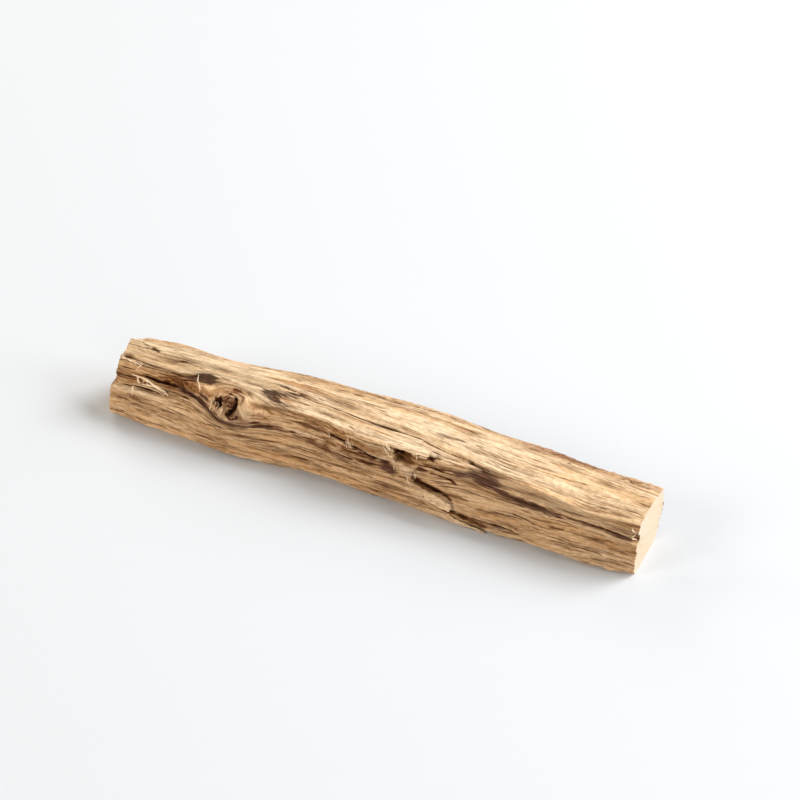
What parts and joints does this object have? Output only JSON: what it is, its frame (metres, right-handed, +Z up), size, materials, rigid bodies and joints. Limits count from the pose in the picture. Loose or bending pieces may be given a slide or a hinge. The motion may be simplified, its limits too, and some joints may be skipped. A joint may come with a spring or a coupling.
{
  "type": "palo santo stick",
  "caption": "Palo santo stick, split along the grain, with a knot, a torn pocket, a peeled flake and a clean sawn end.",
  "frame": {"origin": "middle of the bounding box, on the flat underside that the stick lies on", "axes": "+X along the stick towards the clean sawn end, +Y to the plain back, +Z up"},
  "size_m": [0.1, 0.0166, 0.0123],
  "materials": {
    "split_wood": "dry split wood with long grain, dark resin streaks and weathered brown stains",
    "torn_fibre": "pale loose fibres and splinters"
  },
  "bodies": {
    "root": {"stick": "split_wood"}
  },
  "joints": []
}
